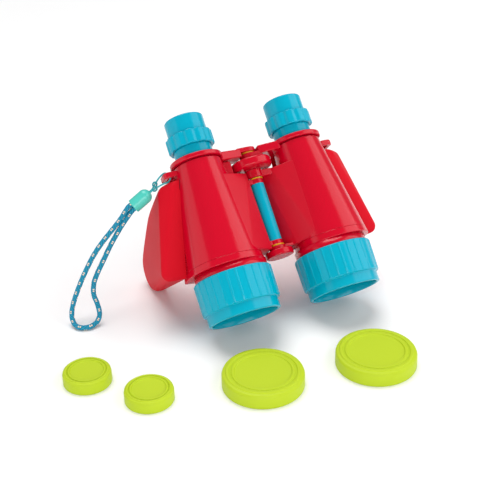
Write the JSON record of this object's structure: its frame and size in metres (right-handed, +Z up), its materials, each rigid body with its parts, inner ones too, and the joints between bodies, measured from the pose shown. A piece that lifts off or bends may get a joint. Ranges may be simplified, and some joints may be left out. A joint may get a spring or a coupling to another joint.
{
  "type": "toy binoculars",
  "caption": "Toy binoculars: two tapered red barrels hinged about a blue sleeve, centre focus wheel, ribbed blue objective rings, side grips, loose lime caps and a wrist lanyard.",
  "frame": {"origin": "bottom centre of the box round the binoculars and the loose caps, on the table", "axes": "+X across the pair from the lanyard side to the other, +Y from the front rims to the eyepieces, +Z up"},
  "size_m": [0.196, 0.1576, 0.1056],
  "materials": {
    "gloss_red": "gloss",
    "satin_red": "satin",
    "gloss_blue": "gloss",
    "lens": "polished",
    "yellow_washer": "satin",
    "lime": "matte",
    "mint": "gloss",
    "cord": "braided",
    "string": "twisted"
  },
  "bodies": {
    "left_half": {"left_top_shell": "gloss_red", "left_belly_cover": "gloss_red", "left_front_collar": "gloss_red", "left_grip": "satin_red", "left_objective_ring": "gloss_blue", "left_objective_lens": "lens", "left_lens_retainer": "gloss_blue", "hinge_tube": "gloss_blue", "shaft_sleeve": "gloss_blue", "washer_middle": "yellow_washer", "washer_bottom": "yellow_washer", "hinge_cap": "gloss_red", "lanyard_string": "string", "lanyard_crimp": "mint", "lanyard_cord": "cord"},
    "right_half": {"right_top_shell": "gloss_red", "right_belly_cover": "gloss_red", "right_front_collar": "gloss_red", "right_grip": "satin_red", "right_objective_ring": "gloss_blue", "right_objective_lens": "lens", "right_lens_retainer": "gloss_blue"},
    "focus_wheel": {"focus_wheel": "gloss_red"},
    "left_bridge": {"left_bridge_arm": "gloss_red", "left_eyepiece_tube": "gloss_blue", "focus_spindle": "gloss_blue", "washer_top": "yellow_washer"},
    "right_bridge": {"right_bridge_arm": "gloss_red", "right_eyepiece_tube": "gloss_blue"},
    "left_ocular": {"left_dioptre_ring": "gloss_blue", "left_eyecup": "gloss_blue", "left_eyepiece_lens": "lens"},
    "right_ocular": {"right_dioptre_ring": "gloss_blue", "right_eyecup": "gloss_blue", "right_eyepiece_lens": "lens"},
    "large_cap_a": {"large_cap_a": "lime"},
    "large_cap_b": {"large_cap_b": "lime"},
    "small_cap_a": {"small_cap_a": "lime"},
    "small_cap_b": {"small_cap_b": "lime"}
  },
  "joints": [
    {"name": "fold", "type": "hinge", "parent": "left_half", "child": "right_half", "pos_m": [0.03248, 0.02894, 0.0537], "axis": [0, 0.6871, 0.7266], "range_deg": [0, 40]},
    {"name": "focus_turn", "type": "hinge", "parent": "left_half", "child": "focus_wheel", "pos_m": [0.03248, 0.04818, 0.07405], "axis": [0, 0.6871, 0.7266], "range_deg": [0, 270]},
    {"name": "left_focus", "type": "slide", "parent": "left_half", "child": "left_bridge", "axis": [0, 0.6871, 0.7266], "range_m": [0, 0.004]},
    {"name": "right_focus", "type": "slide", "parent": "right_half", "child": "right_bridge", "axis": [0, 0.6871, 0.7266], "range_m": [0, 0.004]},
    {"name": "left_dioptre", "type": "hinge", "parent": "left_bridge", "child": "left_ocular", "pos_m": [0.00228, 0.06123, 0.08785], "axis": [0, 0.6871, 0.7266], "range_deg": [-45, 45]},
    {"name": "right_dioptre", "type": "hinge", "parent": "right_bridge", "child": "right_ocular", "pos_m": [0.06268, 0.06123, 0.08785], "axis": [0, 0.6871, 0.7266], "range_deg": [-45, 45]},
    {"name": "large_cap_a_lift", "type": "slide", "parent": "left_half", "child": "large_cap_a", "axis": [0, 0, 1], "range_m": [0, 0.05]},
    {"name": "large_cap_b_lift", "type": "slide", "parent": "left_half", "child": "large_cap_b", "axis": [0, 0, 1], "range_m": [0, 0.05]},
    {"name": "small_cap_a_lift", "type": "slide", "parent": "left_half", "child": "small_cap_a", "axis": [0, 0, 1], "range_m": [0, 0.05]},
    {"name": "small_cap_b_lift", "type": "slide", "parent": "left_half", "child": "small_cap_b", "axis": [0, 0, 1], "range_m": [0, 0.05]}
  ],
  "couplings": [
    {"joint": "left_focus", "follows": "focus_turn", "m_per_rad": 0.000848},
    {"joint": "right_focus", "follows": "focus_turn", "m_per_rad": 0.000848}
  ]
}
